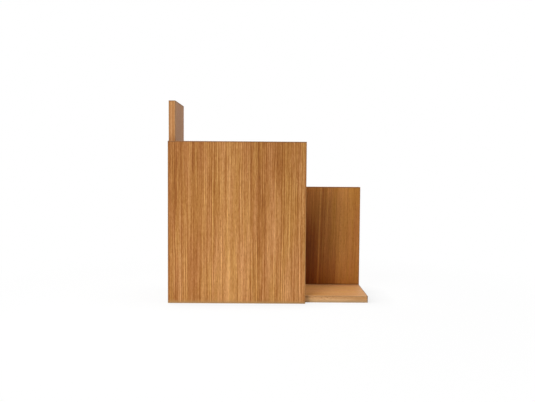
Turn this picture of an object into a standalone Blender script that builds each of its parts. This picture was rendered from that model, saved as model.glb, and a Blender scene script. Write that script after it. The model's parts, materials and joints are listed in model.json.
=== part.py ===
"""Small open shelf: four oak boards at right angles, joined by hidden fluted dowels.

Frame: +X right, +Y to the rear, +Z up. The origin is on the floor, under the middle of the shelf.
"""

import math
from dataclasses import dataclass
from enum import IntEnum

import bmesh
import bpy
from mathutils import Matrix, Vector

# Overall sizes, in metres
OVERALL_WIDTH = 0.530
SIDE_HEIGHT = 0.532
SIDE_DEPTH = 0.190
FRONT_WIDTH = 0.362
FRONT_HEIGHT = 0.426
BACK_TOP_HEIGHT = 0.302

# Boards
BOARD_THICKNESS = 0.018
JOINT_GAP = 0.0003
ARRIS_RADIUS = 0.0007
ARRIS_SEGMENTS = 2

# Dowels and their blind bores
DOWEL_DIAMETER = 0.008
DOWEL_LENGTH = 0.030
DOWEL_CHAMFER = 0.001
FLUTE_DEPTH = 0.0003
FLUTES = 12
POINTS_PER_FLUTE = 2
BORE_CLEARANCE = 0.0003
BORE_END_CLEARANCE = 0.0005
BORE_SIDES = 24
FLUTE_SHARP_ANGLE = math.radians(30)
# How deep a bore goes into a board's face, as a share of the board's thickness
FACE_BORE_SHARE = 0.68
# From a joint's end to its first dowel: a share of the dowel's length, or on a short joint of the joint's
END_SPACE_SHARE = 1.5
SHORT_JOINT_SHARE = 0.25

# Colours (linear), roughness of the oiled oak and of the bare beech
FRONT_OAK = (0.50, 0.24, 0.080)
SIDE_OAK = (0.51, 0.26, 0.100)
BACK_OAK = (0.45, 0.20, 0.065)
BASE_OAK = (0.55, 0.28, 0.110)
OAK_ROUGHNESS = 0.55
BEECH = (0.62, 0.42, 0.25)
BEECH_ROUGHNESS = 0.70

LEFT = -OVERALL_WIDTH / 2
RIGHT = OVERALL_WIDTH / 2
OVERALL_DEPTH = BOARD_THICKNESS + SIDE_DEPTH
FRONT = -OVERALL_DEPTH / 2
REAR = OVERALL_DEPTH / 2
# The three boards behind the front one, and the two beside the tall one, start one joint away from it
BEHIND_FRONT = FRONT + BOARD_THICKNESS + JOINT_GAP
BESIDE_SIDE = LEFT + BOARD_THICKNESS + JOINT_GAP


class Axis(IntEnum):
    """The place of each axis in a vector."""

    X = 0
    Y = 1
    Z = 2


@dataclass(frozen=True)
class Board:
    """One rectangular board: its lowest and highest corners, and the axis that it is thin along."""

    name: str
    low: Vector
    high: Vector
    thin_axis: Axis
    colour: tuple

    @property
    def centre(self):
        return (self.low + self.high) / 2

    @property
    def size(self):
        return self.high - self.low


@dataclass(frozen=True)
class Joint:
    """A row of dowels that holds the edge of one board to the face of another."""

    name: str
    face_board: Board
    edge_board: Board
    dowels: int


FRONT_PANEL = Board(
    "front_panel",
    Vector((LEFT, FRONT, 0)),
    Vector((LEFT + FRONT_WIDTH, FRONT + BOARD_THICKNESS, FRONT_HEIGHT)),
    Axis.Y,
    FRONT_OAK,
)
SIDE_PANEL = Board(
    "side_panel",
    Vector((LEFT, BEHIND_FRONT, 0)),
    Vector((LEFT + BOARD_THICKNESS, REAR, SIDE_HEIGHT)),
    Axis.X,
    SIDE_OAK,
)
BASE_PANEL = Board(
    "base_panel",
    Vector((BESIDE_SIDE, BEHIND_FRONT, 0)),
    Vector((RIGHT, REAR, BOARD_THICKNESS)),
    Axis.Z,
    BASE_OAK,
)
BACK_PANEL = Board(
    "back_panel",
    Vector((BESIDE_SIDE, REAR - BOARD_THICKNESS, BOARD_THICKNESS + JOINT_GAP)),
    Vector((RIGHT, REAR, BACK_TOP_HEIGHT)),
    Axis.Y,
    BACK_OAK,
)
BOARDS = (FRONT_PANEL, SIDE_PANEL, BASE_PANEL, BACK_PANEL)
JOINTS = (
    Joint("front_to_side", FRONT_PANEL, SIDE_PANEL, dowels=5),
    Joint("front_to_base", FRONT_PANEL, BASE_PANEL, dowels=4),
    Joint("base_to_side", SIDE_PANEL, BASE_PANEL, dowels=2),
    Joint("back_to_side", SIDE_PANEL, BACK_PANEL, dowels=3),
    Joint("back_to_base", BASE_PANEL, BACK_PANEL, dowels=6),
)


def clear_scene():
    """Removes every object, so that the shelf stands alone."""
    for obj in list(bpy.data.objects):
        bpy.data.objects.remove(obj, do_unlink=True)


def new_collection(name):
    collection = bpy.data.collections.new(name)
    bpy.context.scene.collection.children.link(collection)
    return collection


def wood(name, colour, roughness):
    """A plain wood finish."""
    material = bpy.data.materials.new(name)
    material.use_nodes = True
    shader = material.node_tree.nodes["Principled BSDF"]
    shader.inputs["Base Color"].default_value = (*colour, 1)
    shader.inputs["Roughness"].default_value = roughness
    shader.inputs["Metallic"].default_value = 0
    material.diffuse_color = (*colour, 1)
    return material


def add_object(name, mesh, collection, parent=None):
    obj = bpy.data.objects.new(name, mesh)
    collection.objects.link(obj)
    obj.parent = parent
    return obj


def make_board(board, collection, parent):
    """A board with every arris eased by the same small radius."""
    shape = bmesh.new()
    bmesh.ops.create_cube(shape, size=1)
    bmesh.ops.scale(shape, vec=board.size, verts=shape.verts)
    mesh = bpy.data.meshes.new(board.name)
    shape.to_mesh(mesh)
    shape.free()
    mesh.materials.append(wood(board.name + "_oak", board.colour, OAK_ROUGHNESS))

    obj = add_object(board.name, mesh, collection, parent)
    obj.location = board.centre
    arris = obj.modifiers.new("eased_arrises", "BEVEL")
    arris.width = ARRIS_RADIUS
    arris.segments = ARRIS_SEGMENTS
    arris.limit_method = "NONE"
    return obj


def dowel_mesh():
    """A dowel along Z, centred, with chamfered ends and straight flutes."""
    radius = DOWEL_DIAMETER / 2
    points_round = POINTS_PER_FLUTE * FLUTES
    shape = bmesh.new()
    bmesh.ops.create_cone(
        shape,
        cap_ends=True,
        segments=points_round,
        radius1=radius,
        radius2=radius,
        depth=DOWEL_LENGTH - 2 * DOWEL_CHAMFER,
    )
    ends = [face for face in shape.faces if len(face.verts) == points_round]
    bmesh.ops.inset_individual(shape, faces=ends, thickness=DOWEL_CHAMFER, depth=DOWEL_CHAMFER)
    # Every second point round the dowel is drawn in, which makes the flutes
    step = math.tau / points_round
    for vert in shape.verts:
        turn = round(math.atan2(vert.co.y, vert.co.x) / step)
        if turn % POINTS_PER_FLUTE:
            out = Vector((vert.co.x, vert.co.y, 0))
            vert.co -= out.normalized() * FLUTE_DEPTH
    mesh = bpy.data.meshes.new("fluted_dowel")
    shape.to_mesh(mesh)
    shape.free()
    mesh.shade_smooth()
    mesh.set_sharp_from_angle(angle=FLUTE_SHARP_ANGLE)
    return mesh


def bore_mesh(length):
    """A cutter along Z, centred, whose flats stay one clearance away from the dowel."""
    shape = bmesh.new()
    radius = (DOWEL_DIAMETER / 2 + BORE_CLEARANCE) / math.cos(math.pi / BORE_SIDES)
    bmesh.ops.create_cone(
        shape, cap_ends=True, segments=BORE_SIDES, radius1=radius, radius2=radius, depth=length
    )
    mesh = bpy.data.meshes.new("dowel_bore")
    shape.to_mesh(mesh)
    shape.free()
    return mesh


def dowel_places(low, high, count):
    """Even places for a count of dowels along a joint that runs from low to high."""
    space = min(DOWEL_LENGTH * END_SPACE_SHARE, (high - low) * SHORT_JOINT_SHARE)
    first, last = low + space, high - space
    return [first + (last - first) * number / (count - 1) for number in range(count)]


def drill(board_object, cutter):
    """A blind hole in a board, where the cutter stands."""
    cut = board_object.modifiers.new(cutter.name, "BOOLEAN")
    cut.operation = "DIFFERENCE"
    cut.solver = "EXACT"
    cut.object = cutter


def join(joint, board_objects, dowel, bore, parts, cutters, parent):
    """Sets one joint's dowels half in the face board and half in the edge board, each in its bore."""
    face, edge = joint.face_board, joint.edge_board
    along = face.thin_axis
    across = edge.thin_axis
    (run,) = set(Axis) - {along, across}
    inward = 1 if edge.centre[along] > face.centre[along] else -1
    surface = face.high[along] if inward > 0 else face.low[along]
    face_bore = BOARD_THICKNESS * FACE_BORE_SHARE
    face_hold = face_bore - BORE_END_CLEARANCE
    middle = surface + inward * (DOWEL_LENGTH / 2 - face_hold)
    turned = Vector.Fill(3, 0)
    turned[along] = inward
    rotation = turned.to_track_quat("Z", "Y")

    low = max(face.low[run], edge.low[run])
    high = min(face.high[run], edge.high[run])
    for number, place in enumerate(dowel_places(low, high, joint.dowels), start=1):
        centre = Vector.Fill(3, 0)
        centre[along] = middle
        centre[across] = edge.centre[across]
        centre[run] = place
        peg = add_object(f"dowel_{joint.name}_{number}", dowel, parts, parent)
        hole = add_object(f"bore_{joint.name}_{number}", bore, cutters, parent)
        for obj in (peg, hole):
            obj.matrix_local = Matrix.LocRotScale(centre, rotation, None)
        hole.hide_render = True
        hole.display_type = "WIRE"
        for board in (face, edge):
            drill(board_objects[board.name], hole)


def main():
    clear_scene()
    parts = new_collection("shelf")
    cutters = new_collection("shelf_cutters")
    cutters.hide_render = True
    frame = add_object("shelf_frame", None, parts)

    board_objects = {board.name: make_board(board, parts, frame) for board in BOARDS}
    dowel = dowel_mesh()
    dowel.materials.append(wood("dowel_beech", BEECH, BEECH_ROUGHNESS))
    bore = bore_mesh(DOWEL_LENGTH + 2 * BORE_END_CLEARANCE)
    for joint in JOINTS:
        join(joint, board_objects, dowel, bore, parts, cutters, frame)


main()
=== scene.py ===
"""Looks of a small open shelf in oiled oak, dressed round its packed boards and dowels.

Every place is in metres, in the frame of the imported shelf: +X right, +Y to the rear, +Z up, with the
origin on the floor under the middle of the shelf.
"""

from __future__ import annotations

import json
import logging
import math
from dataclasses import dataclass
from enum import Enum, IntEnum
from typing import NamedTuple, Union

import bpy
from mathutils import Matrix, Vector

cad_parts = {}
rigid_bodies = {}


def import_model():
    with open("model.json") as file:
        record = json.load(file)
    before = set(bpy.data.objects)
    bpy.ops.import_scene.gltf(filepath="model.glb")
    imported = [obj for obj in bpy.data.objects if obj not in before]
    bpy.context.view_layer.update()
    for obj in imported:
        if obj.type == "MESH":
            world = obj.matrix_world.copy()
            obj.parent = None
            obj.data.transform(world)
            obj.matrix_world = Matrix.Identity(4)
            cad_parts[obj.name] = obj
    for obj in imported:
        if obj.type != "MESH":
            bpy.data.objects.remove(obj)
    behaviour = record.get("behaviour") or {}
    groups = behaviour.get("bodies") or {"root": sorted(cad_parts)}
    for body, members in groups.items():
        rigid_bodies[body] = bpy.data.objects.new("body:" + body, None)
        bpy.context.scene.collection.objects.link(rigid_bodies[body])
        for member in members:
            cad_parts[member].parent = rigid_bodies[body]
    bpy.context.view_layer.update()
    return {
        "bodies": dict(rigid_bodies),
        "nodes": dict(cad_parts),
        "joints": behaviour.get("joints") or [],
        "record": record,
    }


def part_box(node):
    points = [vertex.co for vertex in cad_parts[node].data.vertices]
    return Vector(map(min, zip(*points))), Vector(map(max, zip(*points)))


LOG = logging.getLogger("shelf")
MM_PER_METRE = 1000
WHITE = (1.0, 1.0, 1.0, 1.0)
NOISE_MIDDLE = 0.5
NOISE_ROUGHNESS = 0.5
WHOLE_NUMBER_MARGIN = 0.5

Feed = Union[float, tuple, bpy.types.NodeSocket]
Colour = tuple[float, float, float]
Place = tuple[float, float, float]


class Axis(IntEnum):
    """The axes of the shelf's frame, by their place in a vector."""

    X = 0
    Y = 1
    Z = 2


class GrainRun(Enum):
    """How a board is cut: the axis across its face, the axis of its grain, and the axis through it."""

    UPRIGHT_FACING_FRONT = (Axis.X, Axis.Z, Axis.Y)
    UPRIGHT_FACING_SIDE = (Axis.Y, Axis.Z, Axis.X)
    LYING_FLAT = (Axis.Y, Axis.X, Axis.Z)

    @property
    def across(self) -> Axis:
        """The axis across the board's face."""
        return self.value[0]

    @property
    def along(self) -> Axis:
        """The axis that the grain runs along."""
        return self.value[1]

    @property
    def through(self) -> Axis:
        """The axis through the board's thickness."""
        return self.value[2]


class Face(Enum):
    """Which of a board's two faces: the lowest one through its thickness, or the highest."""

    LOW = "low"
    HIGH = "high"


class Span(NamedTuple):
    """Where a mask is 0 and where it is 1; it falls where the first number is the larger."""

    zero: float
    one: float


class Pitch(NamedTuple):
    """How many marks of a pattern fit in a metre, across the grain and along it."""

    across: float
    along: float


class Layer(Enum):
    """The patterns in the wood, by their shift from the board's seed and from one stave to the next."""

    SWAY = (0.0, 3.7)
    RIPPLE = (11.0, 5.1)
    FIGURE = (0.0, 17.3)
    PORE_BANDS = (71.0, 17.3)
    RING_WIDTHS = (151.0, 17.3)
    HUE = (211.0, 8.3)


class Graph:
    """A tree of shader nodes, with one short method for each kind of node that the finishes use."""

    def __init__(self, owner: Union[bpy.types.Material, bpy.types.World]) -> None:
        """Starts an empty tree.

        Args:
            owner: the material or the world that the nodes are for.
        """
        owner.use_nodes = True
        self.nodes = owner.node_tree.nodes
        self.links = owner.node_tree.links
        self.nodes.clear()

    def add(self, kind: str, **settings: object) -> bpy.types.Node:
        """Adds a node.

        Args:
            kind: the node's type name.
            settings: the node's properties.

        Returns:
            The new node.
        """
        node = self.nodes.new(kind)
        for key, value in settings.items():
            setattr(node, key, value)
        return node

    def feed(self, socket: bpy.types.NodeSocket, value: Feed) -> None:
        """Sets an input, or links another node's output to it.

        Args:
            socket: the input.
            value: a plain value, or the output that feeds it.
        """
        if isinstance(value, bpy.types.NodeSocket):
            self.links.new(value, socket)
        else:
            socket.default_value = value

    def math(self, operation: str, *values: Feed, clamp: bool = False) -> bpy.types.NodeSocket:
        """A sum, product or other operation on numbers.

        Args:
            operation: the Math node's operation.
            values: its inputs, in order.
            clamp: whether the result is held between 0 and 1.

        Returns:
            The result.
        """
        node = self.add("ShaderNodeMath", operation=operation, use_clamp=clamp)
        for socket, value in zip(node.inputs, values):
            self.feed(socket, value)
        return node.outputs[0]

    def vector(self, x: Feed, y: Feed, z: Feed) -> bpy.types.NodeSocket:
        """A vector from three numbers.

        Args:
            x: the first number.
            y: the second number.
            z: the third number.

        Returns:
            The vector.
        """
        node = self.add("ShaderNodeCombineXYZ")
        for socket, value in zip(node.inputs, (x, y, z)):
            self.feed(socket, value)
        return node.outputs[0]

    def split(self, vector: Feed) -> tuple[bpy.types.NodeSocket, ...]:
        """The three numbers of a vector.

        Args:
            vector: the vector.

        Returns:
            Its numbers, in the order of the axes.
        """
        node = self.add("ShaderNodeSeparateXYZ")
        self.feed(node.inputs[0], vector)
        return tuple(node.outputs)

    def noise(self, at: Feed, detail: float = 2.0) -> bpy.types.NodeSocket:
        """Smooth noise between 0 and 1 about one half, with one unit of the vector to a feature.

        Args:
            at: the place.
            detail: how many finer layers it has.

        Returns:
            The noise.
        """
        node = self.add("ShaderNodeTexNoise", noise_dimensions="3D", normalize=True)
        self.feed(node.inputs["Vector"], at)
        node.inputs["Scale"].default_value = 1.0
        node.inputs["Detail"].default_value = detail
        node.inputs["Roughness"].default_value = NOISE_ROUGHNESS
        return node.outputs["Fac"]

    def sway(self, at: Feed, detail: float = 2.0) -> bpy.types.NodeSocket:
        """The same noise about 0, from one half below to one half above.

        Args:
            at: the place.
            detail: how many finer layers it has.

        Returns:
            The noise.
        """
        return self.math("SUBTRACT", self.noise(at, detail), NOISE_MIDDLE)

    def cells(self, pitch: Pitch, across: Feed, along: Feed, third: Feed) -> bpy.types.NodeSocket:
        """The place to read a noise at, for marks of a given pitch.

        Args:
            pitch: how many marks fit in a metre.
            across: the place across the grain.
            along: the place along the grain.
            third: what sets this pattern apart from the others.

        Returns:
            The place.
        """
        return self.vector(
            self.math("MULTIPLY", across, pitch.across),
            self.math("MULTIPLY", along, pitch.along),
            third,
        )

    def spread(self, value: Feed, span: Span, top: float = 1.0) -> bpy.types.NodeSocket:
        """Spreads a stretch over 0 to 1, eased at both ends, and holds what is outside it.

        Args:
            value: the number.
            span: what becomes 0, and what becomes the top.
            top: the result there, 1 unless another is named.

        Returns:
            The result.
        """
        node = self.add("ShaderNodeMapRange", interpolation_type="SMOOTHSTEP")
        self.feed(node.inputs["Value"], value)
        node.inputs["From Min"].default_value = span.zero
        node.inputs["From Max"].default_value = span.one
        node.inputs["To Max"].default_value = top
        return node.outputs["Result"]

    def ramp(self, value: Feed, stops: tuple[tuple[float, Colour], ...]) -> bpy.types.NodeSocket:
        """A colour read from a few stops.

        Args:
            value: the place on the ramp, from 0 to 1.
            stops: places and their colours, in order.

        Returns:
            The colour.
        """
        node = self.add("ShaderNodeValToRGB")
        band = node.color_ramp.elements
        while len(band) < len(stops):
            band.new(1.0)
        for element, (place, colour) in zip(band, stops):
            element.position = place
            element.color = (*colour, 1.0)
        self.feed(node.inputs["Fac"], value)
        return node.outputs["Color"]

    def blend(self, share: Feed, first: Feed, second: Feed, mode: str = "MIX") -> bpy.types.NodeSocket:
        """Blends two colours.

        Args:
            share: how much of the second colour there is.
            first: the first colour.
            second: the second colour.
            mode: how they blend.

        Returns:
            The blend.
        """
        node = self.add("ShaderNodeMix", data_type="RGBA", blend_type=mode, clamp_result=False)
        factor = next(s for s in node.inputs if s.identifier == "Factor_Float")
        a_side = next(s for s in node.inputs if s.identifier == "A_Color")
        b_side = next(s for s in node.inputs if s.identifier == "B_Color")
        for socket, value in ((factor, share), (a_side, first), (b_side, second)):
            if isinstance(value, tuple) and len(value) == 3:
                value = (*value, 1.0)
            self.feed(socket, value)
        return next(s for s in node.outputs if s.identifier == "Result_Color")

    def shown(self) -> bpy.types.NodeSocket:
        """1 where the camera sees the surface, straight, mirrored or through glass, and 0 for light.

        Returns:
            The share.
        """
        path = self.add("ShaderNodeLightPath").outputs
        straight = self.math("MAXIMUM", path["Is Camera Ray"], path["Is Glossy Ray"])
        return self.math("MAXIMUM", straight, path["Is Transmission Ray"])

    def mix_shaders(self, share: Feed, first: Feed, second: Feed) -> bpy.types.NodeSocket:
        """Mixes two shaders.

        Args:
            share: how much of the second shader there is.
            first: the first shader.
            second: the second shader.

        Returns:
            The mix.
        """
        node = self.add("ShaderNodeMixShader")
        for socket, value in zip(node.inputs, (share, first, second)):
            self.feed(socket, value)
        return node.outputs[0]

    def end(self, kind: str, shader: bpy.types.NodeSocket) -> None:
        """Ends the tree in this shader.

        Args:
            kind: the output node's type name.
            shader: the shader.
        """
        self.links.new(shader, self.add(kind).inputs["Surface"])


@dataclass(frozen=True)
class Streak:
    """A lighter or darker band along the grain, of wood tone or of painted shade: its middle, half its
    width, its tone and its ends.
    """

    place: float
    width: float
    tone: float
    start: float = 0.0
    end: float = 1.0


@dataclass(frozen=True)
class Figure:
    """One layer of uneven colour in the wood: its width, its length along the grain and its strength."""

    width: float
    length: float
    strength: float

    @property
    def pitch(self) -> Pitch:
        """How many of its patches fit in a metre."""
        return Pitch(1.0 / self.width, 1.0 / self.length)


@dataclass(frozen=True)
class OakShades:
    """The shades of one oak, each as shares of the board's own red, green and blue."""

    darkest: Colour = (0.38, 0.23, 0.08)
    dark: Colour = (0.65, 0.50, 0.23)
    plain: Colour = (1.0, 1.0, 1.0)
    light: Colour = (1.43, 1.74, 2.45)
    lightest: Colour = (2.00, 2.55, 4.00)
    pore: Colour = (0.54, 0.36, 0.10)
    soaked: Colour = (0.40, 0.40, 0.66)
    worn: Colour = (0.72, 0.90, 1.40)
    # Paler, greyer tint near the floor: painted bounce light from the white floor
    painted_floor_bounce: Colour = (0.98, 1.36, 2.20)

    @staticmethod
    def of(colour: Colour, shares: Colour) -> Colour:
        """A shade of this colour.

        Args:
            colour: the board's own colour.
            shares: one of the shades.

        Returns:
            The shade, with no part above 1.
        """
        red, green, blue = (min(1.0, part * share) for part, share in zip(colour, shares))
        return red, green, blue


@dataclass(frozen=True)
class Spot:
    """A point of the wood in its board's own terms, and the board's measures along and through it."""

    across: Feed
    along: Feed
    through: Feed
    stave: Feed
    radius: Feed
    length: float
    thickness: float


@dataclass(frozen=True)
class Marks:
    """What shows at a point of the wood: its tone, about 0, and the share of each mark, from 0 to 1."""

    tone: Feed
    warmth: Feed
    pores: Feed
    end_grain: Feed
    arris: Feed
    # foot: share of painted bounce light from the floor, near the board's foot
    foot: Feed
    relief: Feed


@dataclass(frozen=True)
class OiledOak:
    """Oiled oak, glued up from staves: straight rings, open pores, end grain and softly worn arrises.

    Places are in metres from the board's lowest corner, and widths in metres. A tone is 0 for the
    board's own colour, -2 for the darkest wood and 2 for the lightest.
    """

    # What sets one board apart from another
    name: str
    run: GrainRun
    colour: Colour
    seed: float
    stave_joints: tuple[float, ...]
    stave_tones: tuple[float, ...]
    # foot_tone, head_tone and depth_tone slope the tone along the grain and through the board; on some
    # boards they are painted light and shade
    foot_tone: float = 0.0
    head_tone: float = 0.0
    depth_tone: float = 0.0
    ring_contrast: float = 1.60
    figure_contrast: float = 1.0
    broad_contrast: float = 1.0
    hue_drift: float = 0.62
    arris_wear: float = 0.60
    lean: float = 0.0
    # Bands along the grain, on one face and on the edges; a few are painted shade
    streaks: tuple[Streak, ...] = ()
    streak_face: Face = Face.LOW
    streak_depth: float = 0.012
    streak_fade: float = 0.06
    streak_wander: float = 0.007
    streak_pitch: Pitch = Pitch(45.0, 6.0)
    edge_streaks: tuple[Streak, ...] = ()
    # Growth rings, round the tree's heart
    pith_aside: float = 0.24
    pith_behind: float = 0.10
    stave_step: float = 0.613
    sway: float = 0.0045
    sway_pitch: Pitch = Pitch(9.0, 5.0)
    ripple: float = 0.00135
    ripple_pitch: Pitch = Pitch(40.0, 22.0)
    ring_spacing: float = 0.0050
    ring_unevenness: float = 3.2
    ring_width_pitch: Pitch = Pitch(44.0, 1.6)
    ring_fade_pitch: Pitch = Pitch(0.9, 5.0)
    ring_fade: Span = Span(0.25, 0.70)
    ring_depth: float = 0.25
    ring_depth_range: float = 0.9
    early_wood: Span = Span(0.10, 0.75)
    early_tone: float = 0.40
    late_wood: Span = Span(1.0, 0.9)
    # Uneven colour between the rings
    fine_figure: tuple[Figure, ...] = (
        Figure(width=0.0020, length=0.011, strength=1.50),
        Figure(width=0.0024, length=0.050, strength=1.55),
        Figure(width=0.0034, length=0.220, strength=1.80),
        Figure(width=0.0060, length=0.450, strength=1.25),
    )
    broad_figure: tuple[Figure, ...] = (
        Figure(width=0.0130, length=0.400, strength=0.95),
        Figure(width=0.0450, length=0.600, strength=0.65),
    )
    figure_step: float = 29.0
    # Drift between straw yellow and rosy brown
    hue_pitch: Pitch = Pitch(50.0, 5.0)
    hue_span: Span = Span(0.30, 0.70)
    straw_tint: Colour = (0.99, 1.02, 0.80)
    rosy_tint: Colour = (1.02, 0.96, 1.14)
    # Open pores, in bands that follow the rings
    pore_pitch: Pitch = Pitch(1900.0, 130.0)
    pore_dash: Span = Span(0.58, 0.72)
    pore_band_pitch: Pitch = Pitch(200.0, 4.0)
    pore_band: Span = Span(0.42, 0.62)
    pore_share: float = 0.50
    # Ends, arrises, and painted bounce light from the floor at the foot
    end_facing: Span = Span(0.55, 0.85)
    soaked_reach: Span = Span(0.0036, 0.0010)
    soaked_share: float = 0.70
    arris_reach: Span = Span(0.0034, 0.0004)
    foot_reach: Span = Span(0.011, 0.0)
    foot_share: float = 0.90
    # Colour, gloss and relief
    shades: OakShades = OakShades()
    shine: float = 0.3
    roughness: float = 0.54
    light_polish: float = -0.06
    end_dullness: float = 0.18
    pore_dullness: float = 0.15
    ring_relief: float = 0.6
    relief_strength: float = 0.35
    relief_height: float = 0.0001

    def material(self, low: Vector, high: Vector) -> bpy.types.Material:
        """Builds the finish for one board.

        Args:
            low: the board's lowest corner.
            high: the board's highest corner.

        Returns:
            The material.
        """
        material = bpy.data.materials.new(self.name)
        graph = Graph(material)
        at = graph.add("ShaderNodeTexCoord").outputs["Object"]
        parts = graph.split(at)
        spot = self._spot(graph, parts, low, high)
        rings = self._rings(graph, spot)
        pores = self._pores(graph, spot)
        marks = Marks(
            tone=self._tone(graph, spot, rings),
            warmth=self._warmth(graph, spot),
            pores=pores,
            end_grain=graph.math("MAXIMUM", self._end_grain(graph), self._soaked_end(graph, spot)),
            arris=self._arris(graph, parts, low, high),
            # Painted bounce light from the floor, fading within foot_reach of it
            foot=graph.spread(parts[Axis.Z], self.foot_reach),
            relief=graph.math("SUBTRACT", graph.math("MULTIPLY", rings, self.ring_relief), pores),
        )
        graph.end("ShaderNodeOutputMaterial", self._shader(graph, marks))
        return material

    def _spot(self, graph: Graph, parts: tuple[Feed, ...], low: Vector, high: Vector) -> Spot:
        """Turns a place in the shelf's frame into one in the board's own terms.

        Args:
            graph: the material's nodes.
            parts: the place in the shelf's frame.
            low: the board's lowest corner.
            high: the board's highest corner.

        Returns:
            The place.
        """
        run = self.run
        axes = (run.across, run.along, run.through)
        across, along, through = (graph.math("SUBTRACT", parts[axis], low[axis]) for axis in axes)
        across = graph.math("MULTIPLY_ADD", along, self.lean, across)
        stave = self._stave(graph, across)
        return Spot(
            across=across,
            along=along,
            through=through,
            stave=stave,
            radius=self._ring_radius(graph, across, along, through, stave),
            length=high[run.along] - low[run.along],
            thickness=high[run.through] - low[run.through],
        )

    def _apart(self, graph: Graph, stave: Feed, layer: Layer, number: int = 0) -> Feed:
        """What sets a pattern on one stave apart from every other.

        Args:
            graph: the material's nodes.
            stave: the stave's number.
            layer: the pattern.
            number: its number among layers of one kind.

        Returns:
            The third number of the place that its noise is read at.
        """
        seed_shift, stave_shift = layer.value
        start = self.seed + seed_shift + self.figure_step * number
        return graph.math("MULTIPLY_ADD", stave, stave_shift, start)

    def _stave(self, graph: Graph, across: Feed) -> Feed:
        """Numbers the staves from 0.

        Args:
            graph: the material's nodes.
            across: the place across the board.

        Returns:
            The stave's number.
        """
        number: Feed = 0.0
        for joint in self.stave_joints:
            number = graph.math("ADD", number, graph.math("GREATER_THAN", across, joint))
        return number

    def _ring_radius(self, graph: Graph, across: Feed, along: Feed, through: Feed, stave: Feed) -> Feed:
        """The distance from the tree's heart, which the rings follow.

        Args:
            graph: the material's nodes.
            across: the place across the board.
            along: the place along the grain.
            through: the place through the board.
            stave: the stave's number.

        Returns:
            The distance, in metres.
        """
        slow = graph.cells(self.sway_pitch, across, along, self._apart(graph, stave, Layer.SWAY))
        quick = graph.cells(self.ripple_pitch, across, along, self._apart(graph, stave, Layer.RIPPLE))
        bend = graph.math("MULTIPLY", graph.sway(slow, detail=1.0), self.sway)
        ripple = graph.math("MULTIPLY", graph.sway(quick), self.ripple)
        swayed = graph.math("ADD", graph.math("ADD", across, bend), ripple)
        aside = graph.math("ADD", swayed, self.pith_aside)
        behind = graph.math("ADD", through, self.pith_behind)
        square = graph.math("MULTIPLY_ADD", aside, aside, graph.math("MULTIPLY", behind, behind))
        return graph.math("MULTIPLY_ADD", stave, self.stave_step, graph.math("SQRT", square))

    def _rings(self, graph: Graph, spot: Spot) -> Feed:
        """Growth rings: each starts with a dark open line and grows lighter, about 0 at its middle.

        Args:
            graph: the material's nodes.
            spot: the place.

        Returns:
            The tone that the rings add.
        """
        apart = self._apart(graph, spot.stave, Layer.RING_WIDTHS)
        place = graph.cells(self.ring_width_pitch, spot.radius, spot.along, apart)
        widths = graph.noise(place, detail=1.0)
        uneven = graph.math("MULTIPLY", widths, self.ring_unevenness)
        count = graph.math("MULTIPLY_ADD", spot.radius, 1.0 / self.ring_spacing, uneven)
        year = graph.add("ShaderNodeTexWhiteNoise", noise_dimensions="2D")
        graph.feed(year.inputs["Vector"], graph.vector(graph.math("FLOOR", count), spot.stave, 0.0))
        place = graph.cells(self.ring_fade_pitch, count, spot.along, self.seed)
        fade = graph.noise(place, detail=3.0)
        depth = graph.math("MULTIPLY_ADD", year.outputs["Value"], self.ring_depth_range, self.ring_depth)
        depth = graph.math("MULTIPLY", depth, graph.spread(fade, self.ring_fade))
        growth = graph.math("FRACT", count)
        early = graph.math("SUBTRACT", self.early_tone, graph.spread(growth, self.early_wood))
        late = graph.spread(growth, self.late_wood)
        shape = graph.math("MULTIPLY", early, late)
        return graph.math("MULTIPLY", shape, graph.math("MULTIPLY", depth, -1.0))

    def _tone(self, graph: Graph, spot: Spot, rings: Feed) -> Feed:
        """Light and dark of the wood, about 0 at its middle, with the painted light and shade that some
        streaks and tone slopes add.

        Args:
            graph: the material's nodes.
            spot: the place.
            rings: what the growth rings add.

        Returns:
            The tone.
        """
        total = graph.math("MULTIPLY", rings, self.ring_contrast)
        layers = [(layer, self.figure_contrast) for layer in self.fine_figure]
        layers += [(layer, self.figure_contrast * self.broad_contrast) for layer in self.broad_figure]
        for number, (layer, contrast) in enumerate(layers):
            apart = self._apart(graph, spot.stave, Layer.FIGURE, number)
            place = graph.cells(layer.pitch, spot.radius, spot.along, apart)
            lift = graph.sway(place, detail=1.0)
            total = graph.math("MULTIPLY_ADD", lift, layer.strength * contrast, total)
        # The slopes from foot to head and through the board: painted light and shade on the front, back
        # and side boards
        slope = (self.head_tone - self.foot_tone) / spot.length
        total = graph.math("ADD", total, graph.math("MULTIPLY_ADD", spot.along, slope, self.foot_tone))
        for number, shift in enumerate(self.stave_tones):
            here = graph.math("COMPARE", spot.stave, float(number), WHOLE_NUMBER_MARGIN)
            total = graph.math("MULTIPLY_ADD", here, shift, total)
        total = graph.math("ADD", total, self._streaks(graph, spot))
        for streak in self.edge_streaks:
            total = graph.math("ADD", total, self._one_streak(graph, spot.through, spot.along, streak))
        return graph.math("MULTIPLY_ADD", spot.through, self.depth_tone / spot.thickness, total)

    def _streaks(self, graph: Graph, spot: Spot) -> Feed:
        """All the bands along the grain, some of them painted shade, which fade on the way through the
        board.

        Args:
            graph: the material's nodes.
            spot: the place.

        Returns:
            The tone that they add.
        """
        drift = graph.sway(graph.cells(self.streak_pitch, spot.across, spot.along, self.seed))
        wandering = graph.math("MULTIPLY_ADD", drift, self.streak_wander, spot.across)
        total: Feed = 0.0
        for streak in self.streaks:
            total = graph.math("ADD", total, self._one_streak(graph, wandering, spot.along, streak))
        reach = Span(self.streak_depth, 0.0)
        if self.streak_face is Face.HIGH:
            reach = Span(spot.thickness - self.streak_depth, spot.thickness)
        return graph.math("MULTIPLY", total, graph.spread(spot.through, reach))

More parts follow.
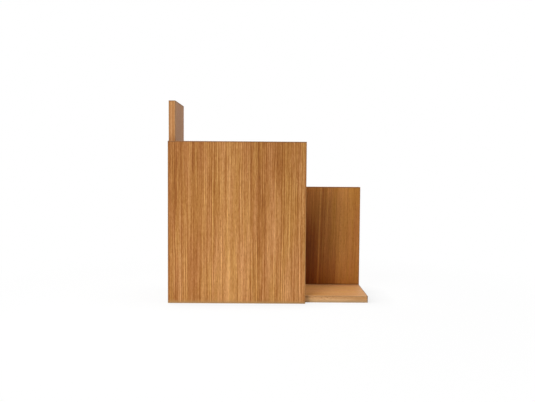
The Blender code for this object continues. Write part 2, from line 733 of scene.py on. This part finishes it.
    def _one_streak(self, graph: Graph, across: Feed, along: Feed, streak: Streak) -> Feed:
        """One band along the grain.

        Args:
            graph: the material's nodes.
            across: the place across the band.
            along: the place along the grain.
            streak: the band.

        Returns:
            The tone that it adds.
        """
        away = graph.math("ABSOLUTE", graph.math("SUBTRACT", across, streak.place))
        shape = graph.spread(away, Span(streak.width, 0.0), top=streak.tone)
        if streak.start > 0.0:
            begun = Span(streak.start - self.streak_fade, streak.start + self.streak_fade)
            shape = graph.math("MULTIPLY", shape, graph.spread(along, begun))
        if streak.end < 1.0:
            unfinished = Span(streak.end + self.streak_fade, streak.end - self.streak_fade)
            shape = graph.math("MULTIPLY", shape, graph.spread(along, unfinished))
        return shape

    def _warmth(self, graph: Graph, spot: Spot) -> Feed:
        """How far the wood leans from straw yellow, at 0, to rosy brown, at 1.

        Args:
            graph: the material's nodes.
            spot: the place.

        Returns:
            The warmth.
        """
        apart = self._apart(graph, spot.stave, Layer.HUE)
        drift = graph.noise(graph.cells(self.hue_pitch, spot.across, spot.along, apart))
        return graph.spread(drift, self.hue_span)

    def _pores(self, graph: Graph, spot: Spot) -> Feed:
        """Open pores: short dark dashes along the grain, which show as dots on the end grain.

        Args:
            graph: the material's nodes.
            spot: the place.

        Returns:
            How deep in a pore the place is, from 0 to 1.
        """
        deep = graph.math("MULTIPLY_ADD", spot.through, self.pore_pitch.across, self.seed)
        dash = graph.noise(graph.cells(self.pore_pitch, spot.across, spot.along, deep), detail=0.0)
        apart = self._apart(graph, spot.stave, Layer.PORE_BANDS)
        place = graph.cells(self.pore_band_pitch, spot.radius, spot.along, apart)
        band = graph.noise(place, detail=1.0)
        dashes = graph.spread(dash, self.pore_dash)
        return graph.math("MULTIPLY", dashes, graph.spread(band, self.pore_band))

    def _end_grain(self, graph: Graph) -> Feed:
        """1 where the surface is cut across the grain, and 0 elsewhere.

        Args:
            graph: the material's nodes.

        Returns:
            The share of end grain.
        """
        facing = graph.split(graph.add("ShaderNodeNewGeometry").outputs["Normal"])[self.run.along]
        return graph.spread(graph.math("ABSOLUTE", facing), self.end_facing)

    def _soaked_end(self, graph: Graph, spot: Spot) -> Feed:
        """1 at the board's two ends, where the oil soaks in, falling to 0 within a few millimetres.

        Args:
            graph: the material's nodes.
            spot: the place.

        Returns:
            The share of soaked wood.
        """
        near = graph.math("MINIMUM", spot.along, graph.math("SUBTRACT", spot.length, spot.along))
        return graph.spread(near, self.soaked_reach)

    def _arris(self, graph: Graph, parts: tuple[Feed, ...], low: Vector, high: Vector) -> Feed:
        """1 on the board's arrises, falling to 0 within a few millimetres.

        Args:
            graph: the material's nodes.
            parts: the place in the shelf's frame.
            low: the board's lowest corner.
            high: the board's highest corner.

        Returns:
            The share of wear.
        """
        depths = []
        for part, near_face, far_face in zip(parts, low, high):
            near = graph.math("SUBTRACT", part, near_face)
            far = graph.math("SUBTRACT", far_face, part)
            depths.append(graph.math("MINIMUM", near, far))
        first, second, third = depths
        lesser = graph.math("MINIMUM", first, second)
        greater = graph.math("MAXIMUM", first, second)
        middle = graph.math("MAXIMUM", lesser, graph.math("MINIMUM", greater, third))
        return graph.spread(middle, self.arris_reach)

    def _colour(self, graph: Graph, marks: Marks) -> Feed:
        """The wood's colour: light and dark, then hue, pores, arrises, ends, and painted bounce light at
        the foot.

        Args:
            graph: the material's nodes.
            marks: what shows at the place.

        Returns:
            The colour.
        """
        shades = self.shades
        scale = (shades.darkest, shades.dark, shades.plain, shades.light, shades.lightest)
        step = 1.0 / (len(scale) - 1)
        plain = scale.index(shades.plain) * step
        colours = [shades.of(self.colour, shade) for shade in scale]
        stops = tuple((number * step, colour) for number, colour in enumerate(colours))
        wood = graph.ramp(graph.math("MULTIPLY_ADD", marks.tone, step, plain, clamp=True), stops)
        tint = graph.blend(marks.warmth, self.straw_tint, self.rosy_tint)
        wood = graph.blend(self.hue_drift, wood, tint, "MULTIPLY")
        for mark, share, shade in (
            (marks.pores, self.pore_share, shades.pore),
            (marks.arris, self.arris_wear, shades.worn),
            (marks.end_grain, self.soaked_share, shades.soaked),
            # Painted bounce light from the floor, paler and greyer near the foot
            (marks.foot, self.foot_share, shades.painted_floor_bounce),
        ):
            wood = graph.blend(graph.math("MULTIPLY", mark, share), wood, shades.of(self.colour, shade))
        return wood

    def _shader(self, graph: Graph, marks: Marks) -> bpy.types.NodeSocket:
        """Turns the marks into colour, gloss and relief.

        Args:
            graph: the material's nodes.
            marks: what shows at the place.

        Returns:
            The shader.
        """
        gloss = graph.math("MULTIPLY_ADD", marks.tone, self.light_polish, self.roughness)
        gloss = graph.math("MULTIPLY_ADD", marks.end_grain, self.end_dullness, gloss)
        gloss = graph.math("MULTIPLY_ADD", marks.pores, self.pore_dullness, gloss, clamp=True)

        bump = graph.add("ShaderNodeBump")
        bump.inputs["Strength"].default_value = self.relief_strength
        bump.inputs["Distance"].default_value = self.relief_height
        graph.feed(bump.inputs["Height"], marks.relief)

        shader = graph.add("ShaderNodeBsdfPrincipled")
        shader.inputs["Specular IOR Level"].default_value = self.shine
        graph.feed(shader.inputs["Base Color"], self._colour(graph, marks))
        graph.feed(shader.inputs["Roughness"], gloss)
        graph.feed(shader.inputs["Normal"], bump.outputs["Normal"])
        return shader.outputs[0]


@dataclass(frozen=True)
class BareBeech:
    """Bare beech, with short fine flecks and darker flutes."""

    name: str = "bare_beech"
    colour: Colour = (0.62, 0.42, 0.25)
    fleck_shade: Colour = (0.50, 0.29, 0.15)
    fleck_pitch: float = 1400.0
    fleck_span: Span = Span(0.3, 0.7)
    roughness: float = 0.6
    fleck_dullness: float = 0.2

    def material(self) -> bpy.types.Material:
        """Builds the finish.

        Returns:
            The material.
        """
        material = bpy.data.materials.new(self.name)
        graph = Graph(material)
        grow = graph.add("ShaderNodeVectorMath", operation="SCALE")
        graph.feed(grow.inputs[0], graph.add("ShaderNodeTexCoord").outputs["Object"])
        grow.inputs["Scale"].default_value = self.fleck_pitch
        fleck = graph.noise(grow.outputs[0], detail=3.0)
        dark, light = self.fleck_span
        wood = graph.ramp(fleck, ((dark, self.fleck_shade), (light, self.colour)))
        dullness = graph.math("MULTIPLY_ADD", fleck, self.fleck_dullness, self.roughness)
        shader = graph.add("ShaderNodeBsdfPrincipled")
        graph.feed(shader.inputs["Base Color"], wood)
        graph.feed(shader.inputs["Roughness"], dullness)
        graph.end("ShaderNodeOutputMaterial", shader.outputs[0])
        return material


@dataclass
class Board:
    """One board of the shelf, with its finish."""

    node: str
    finish: OiledOak

    def dress(self, frame: dict) -> None:
        """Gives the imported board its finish.

        Args:
            frame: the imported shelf.
        """
        low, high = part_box(self.node)
        cover(frame["nodes"][self.node], self.finish.material(low, high))
        size = (high - low) * MM_PER_METRE
        LOG.info("%s: %s, %.0f x %.0f x %.0f mm", self.node, self.finish.name, *size)


@dataclass
class Boards:
    """The four boards round the bay."""

    honey: Colour = (0.462, 0.194, 0.045)
    amber: Colour = (0.496, 0.189, 0.029)
    straw: Colour = (0.494, 0.232, 0.073)
    wheat: Colour = (0.500, 0.228, 0.063)

    def build(self, frame: dict) -> None:
        """Dresses each board.

        Args:
            frame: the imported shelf.
        """
        for board in (self.front(), self.side(), self.back(), self.base()):
            board.dress(frame)

    def front(self) -> Board:
        """The wide front board, of three staves with the lightest in the middle.

        Returns:
            The board.
        """
        finish = OiledOak(
            name="front_oak",
            run=GrainRun.UPRIGHT_FACING_FRONT,
            colour=self.honey,
            stave_joints=(0.116, 0.2095),
            stave_tones=(-0.28, 0.14, -0.07),
            # foot_tone and head_tone: painted light, lighter towards the foot as from light bounced off
            # the floor, darker at the top
            foot_tone=0.24,
            head_tone=-0.16,
            broad_contrast=0.45,
            streaks=(
                Streak(0.000, 0.010, -0.64),
                Streak(0.015, 0.004, 0.40, end=0.13),
                Streak(0.019, 0.006, -0.48),
                Streak(0.024, 0.006, -0.56, end=0.13),
                Streak(0.030, 0.005, 0.50, end=0.28),
                Streak(0.031, 0.006, -0.34, start=0.31),
                Streak(0.035, 0.005, -0.50, start=0.14),
                Streak(0.044, 0.004, 0.30, end=0.28),
                Streak(0.053, 0.005, -0.36, end=0.14),
                Streak(0.056, 0.005, 0.40, start=0.16),
                Streak(0.067, 0.006, -0.60),
                Streak(0.085, 0.005, -0.24),
                Streak(0.094, 0.006, 0.28, end=0.28),
                Streak(0.108, 0.006, 0.34),
                Streak(0.122, 0.005, -0.80, start=0.13),
                Streak(0.144, 0.010, -0.20, end=0.28),
                Streak(0.160, 0.006, 0.64),
                Streak(0.175, 0.005, 0.18, end=0.30),
                Streak(0.196, 0.006, -0.34, end=0.24),
                Streak(0.209, 0.005, 0.42, end=0.28),
                Streak(0.239, 0.007, -0.82),
                Streak(0.255, 0.006, -0.66, end=0.28),
                Streak(0.262, 0.070, -0.22, start=0.30),
                Streak(0.276, 0.008, 0.44),
                Streak(0.288, 0.018, -0.26, start=0.30),
                Streak(0.303, 0.007, -0.32),
                Streak(0.317, 0.006, 0.20, end=0.28),
                Streak(0.324, 0.005, 0.36, end=0.14),
                Streak(0.334, 0.006, -0.20),
                Streak(0.350, 0.006, 0.30, start=0.13),
                Streak(0.362, 0.007, -0.22),
            ),
            seed=2.0,
        )
        return Board("front_panel", finish)

    def side(self) -> Board:
        """The tall side board.

        Returns:
            The board.
        """
        finish = OiledOak(
            name="side_oak",
            run=GrainRun.UPRIGHT_FACING_SIDE,
            colour=self.wheat,
            stave_joints=(0.092,),
            stave_tones=(0.16, 0.06),
            ring_contrast=0.70,
            figure_contrast=0.60,
            arris_wear=0.75,
            # depth_tone: painted shade, the inner face darker than the outer, as turned away from the
            # light
            depth_tone=-0.54,
            edge_streaks=(
                Streak(0.0030, 0.0032, -0.62),
                Streak(0.0073, 0.0028, 0.50),
                Streak(0.0154, 0.0022, 0.34),
            ),
            seed=17.0,
        )
        return Board("side_panel", finish)

    def back(self) -> Board:
        """The low back board. Its first two streaks are the shade at its foot, deep in the bay.

        Returns:
            The board.
        """
        finish = OiledOak(
            name="back_oak",
            run=GrainRun.UPRIGHT_FACING_FRONT,
            colour=self.amber,
            stave_joints=(0.062, 0.126, 0.190, 0.254, 0.318, 0.383, 0.441, 0.481),
            stave_tones=(0.0, -0.08, 0.06, -0.03, 0.05, -0.28, -0.10, 0.25, -0.02),
            ring_contrast=0.40,
            figure_contrast=0.55,
            # foot_tone and head_tone: painted shade, darker towards the foot deep in the bay, lighter at
            # the top
            foot_tone=-0.11,
            head_tone=0.28,
            hue_drift=0.85,
            lean=-0.03,
            streaks=(
                # These first two streaks are painted shade at the foot, deep in the bay, running on
                # behind the front board
                Streak(0.250, 0.150, -1.00, end=0.18),
                Streak(0.352, 0.062, -1.22, end=0.18),
                Streak(0.390, 0.004, 0.90),
                Streak(0.396, 0.004, -0.40),
                Streak(0.404, 0.004, -0.36),
                Streak(0.412, 0.013, 0.34, start=0.14),
                Streak(0.464, 0.024, 0.20, end=0.12),
                Streak(0.492, 0.010, -0.30, start=0.18),
            ),
            streak_wander=0.003,
            seed=31.0,
        )
        return Board("back_panel", finish)

    def base(self) -> Board:
        """The base board, with its grain along the shelf's width. Its first streak is the bay's shade.

        Returns:
            The board.
        """
        finish = OiledOak(
            name="base_oak",
            run=GrainRun.LYING_FLAT,
            colour=self.straw,
            stave_joints=(0.088,),
            stave_tones=(0.09, 0.02),
            foot_tone=-0.06,
            head_tone=0.06,
            ring_contrast=0.60,
            figure_contrast=0.45,
            streak_face=Face.HIGH,
            streak_depth=0.040,
            streaks=(
                # Painted shade behind the front board, darker towards the left end
                Streak(0.100, 0.260, -0.50, end=0.37),
                Streak(0.022, 0.014, -0.20),
                Streak(0.000, 0.010, 0.30),
            ),
            edge_streaks=(Streak(0.0090, 0.0085, 0.36, end=0.46),),
            seed=47.0,
        )
        return Board("base_panel", finish)


@dataclass
class Dowels:
    """The hidden dowels that hold the boards together."""

    prefix: str = "dowel_"
    finish: BareBeech = BareBeech()

    def build(self, frame: dict) -> None:
        """Gives every dowel its finish.

        Args:
            frame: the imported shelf.
        """
        beech = self.finish.material()
        for name in sorted(frame["nodes"]):
            if name.startswith(self.prefix):
                cover(frame["nodes"][name], beech)
                LOG.info("%s: %s", name, beech.name)


@dataclass(frozen=True)
class Softbox:
    """A soft square lamp: the way to it from the shelf's middle, its aim, its size and its power."""

    name: str
    bearing: float
    rise: float
    aim: Place
    power: float
    spread: float = 180.0
    size: float = 1.0
    distance: float = 2.2
    middle: Place = (0.0, 0.0, 0.22)

    @property
    def place(self) -> Vector:
        """Where the lamp hangs; a bearing of 0 is in front of the shelf, and 90 is to its right.

        Returns:
            The place.
        """
        bearing, rise = math.radians(self.bearing), math.radians(self.rise)
        level = self.distance * math.cos(rise)
        height = self.distance * math.sin(rise)
        away = Vector((level * math.sin(bearing), -level * math.cos(bearing), height))
        return Vector(self.middle) + away

    def build(self) -> None:
        """Hangs the lamp."""
        light = bpy.data.lights.new(self.name, "AREA")
        light.shape = "SQUARE"
        light.size = self.size
        light.energy = self.power
        light.spread = math.radians(self.spread)
        lamp = bpy.data.objects.new(self.name, light)
        lamp.location = self.place
        lamp.rotation_euler = (Vector(self.aim) - self.place).to_track_quat("-Z", "Y").to_euler()
        bpy.context.scene.collection.objects.link(lamp)


@dataclass
class Studio:
    """The white floor, the soft light and the camera."""

    lens: float = 46.226
    sensor: float = 36.0
    camera_place: Place = (-0.01626, -1.89684, 0.37412)
    camera_yaw: float = math.radians(0.378)
    camera_pitch: float = math.radians(3.291)
    camera_roll: float = math.radians(0.409)
    floor_size: float = 12.0
    floor_drop: float = 0.0002
    floor_colour: Colour = (0.86, 0.86, 0.86)
    floor_lift: float = 0.93
    # contact_reach, contact_strength, contact_samples and contact_side set the painted contact shade on
    # the floor
    contact_reach: float = 0.08
    contact_strength: float = 0.22
    contact_samples: int = 16
    contact_side: Place = (-0.90, 0.00, 0.43)
    shadow_reach: Span = Span(0.45, 1.0)
    world_strength: float = 0.02

    def build(self) -> None:
        """Sets up the studio."""
        self.make_camera()
        self.make_floor()
        self.make_world()
        for softbox in self.softboxes():
            softbox.build()
            LOG.info("%s: %.0f W", softbox.name, softbox.power)

    def make_camera(self) -> None:
        """Stands the camera where the photograph was taken from."""
        data = bpy.data.cameras.new("camera")
        data.lens = self.lens
        data.sensor_width = self.sensor
        camera = bpy.data.objects.new("camera", data)
        turn = Matrix.Rotation(-self.camera_yaw, 3, "Z")
        tip = Matrix.Rotation(math.pi / 2 - self.camera_pitch, 3, "X")
        lean = Matrix.Rotation(self.camera_roll, 3, "Z")
        camera.rotation_euler = (turn @ tip @ lean).to_euler()
        camera.location = self.camera_place
        bpy.context.scene.collection.objects.link(camera)
        bpy.context.scene.camera = camera

    def make_floor(self) -> None:
        """Lays a wide pale floor that keeps the shelf's shadow, a hair below the boards."""
        half = self.floor_size / 2
        mesh = bpy.data.meshes.new("floor")
        around = [(-half, -half, 0), (half, -half, 0), (half, half, 0), (-half, half, 0)]
        mesh.from_pydata(around, [], [(0, 1, 2, 3)])
        floor = bpy.data.objects.new("floor", mesh)
        floor.location.z = -self.floor_drop
        bpy.context.scene.collection.objects.link(floor)
        mesh.materials.append(self.floor_material())

    def floor_material(self) -> bpy.types.Material:
        """A matt pale floor, lifted towards white where it is seen, and least right beside the shelf,
        where an occlusion node paints contact shade, most at the shelf's right.

        Returns:
            The material.
        """
        material = bpy.data.materials.new("pale_floor")
        graph = Graph(material)
        matt = graph.add("ShaderNodeBsdfDiffuse")
        matt.inputs["Color"].default_value = (*self.floor_colour, 1.0)
        away = graph.add("ShaderNodeVectorMath", operation="LENGTH")
        graph.feed(away.inputs[0], graph.add("ShaderNodeTexCoord").outputs["Object"])
        far = graph.spread(away.outputs["Value"], self.shadow_reach)
        lift = graph.math("MULTIPLY_ADD", far, 1.0 - self.floor_lift, self.floor_lift)
        # Painted contact shade: occlusion, leaning to the left, darkens the floor's white beside the
        # shelf
        nearby = graph.add("ShaderNodeAmbientOcclusion", samples=self.contact_samples)
        nearby.inputs["Distance"].default_value = self.contact_reach
        graph.feed(nearby.inputs["Normal"], graph.vector(*self.contact_side))
        covered = graph.math("SUBTRACT", 1.0, nearby.outputs["AO"])
        strength = graph.math("MULTIPLY_ADD", covered, -self.contact_strength, 1.0)
        white = graph.add("ShaderNodeEmission")
        graph.feed(white.inputs["Strength"], strength)
        lifted = graph.math("MULTIPLY", graph.shown(), lift)
        shader = graph.mix_shaders(lifted, matt.outputs[0], white.outputs[0])
        graph.end("ShaderNodeOutputMaterial", shader)
        return material

    def make_world(self) -> None:
        """Lights the scene evenly from all round, and shows plain white behind it."""
        world = bpy.data.worlds.new("studio")
        bpy.context.scene.world = world
        graph = Graph(world)
        room = graph.add("ShaderNodeBackground")
        room.inputs["Color"].default_value = WHITE
        room.inputs["Strength"].default_value = self.world_strength
        white = graph.add("ShaderNodeBackground")
        white.inputs["Color"].default_value = WHITE
        shader = graph.mix_shaders(graph.shown(), room.outputs[0], white.outputs[0])
        graph.end("ShaderNodeOutputWorld", shader)

    def softboxes(self) -> tuple[Softbox, ...]:
        """The lamps: a main one in front at the left, one overhead, and one behind for the rear faces.

        Returns:
            The lamps.
        """
        return (
            Softbox("main_lamp", bearing=-32, rise=30, aim=(-0.2, -0.4, 0.0), power=9.6, spread=90),
            Softbox("top_lamp", bearing=100, rise=85, aim=(0.0, 0.0, 0.2), power=40.0),
            Softbox("rear_lamp", bearing=-165, rise=30, aim=(0.0, 0.0, 0.2), power=14.0),
        )


def cover(piece: bpy.types.Object, material: bpy.types.Material) -> None:
    """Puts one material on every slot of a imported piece.

    Args:
        piece: the piece.
        material: its finish.
    """
    for slot in piece.material_slots:
        slot.material = material


def main() -> None:
    """Dresses the shelf and sets up the studio."""
    logging.basicConfig(level=logging.INFO, format="%(name)s: %(message)s")
    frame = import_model()
    bpy.context.scene.view_settings.view_transform = "Standard"
    Boards().build(frame)
    Dowels().build(frame)
    Studio().build()


if __name__ == "__main__":
    main()
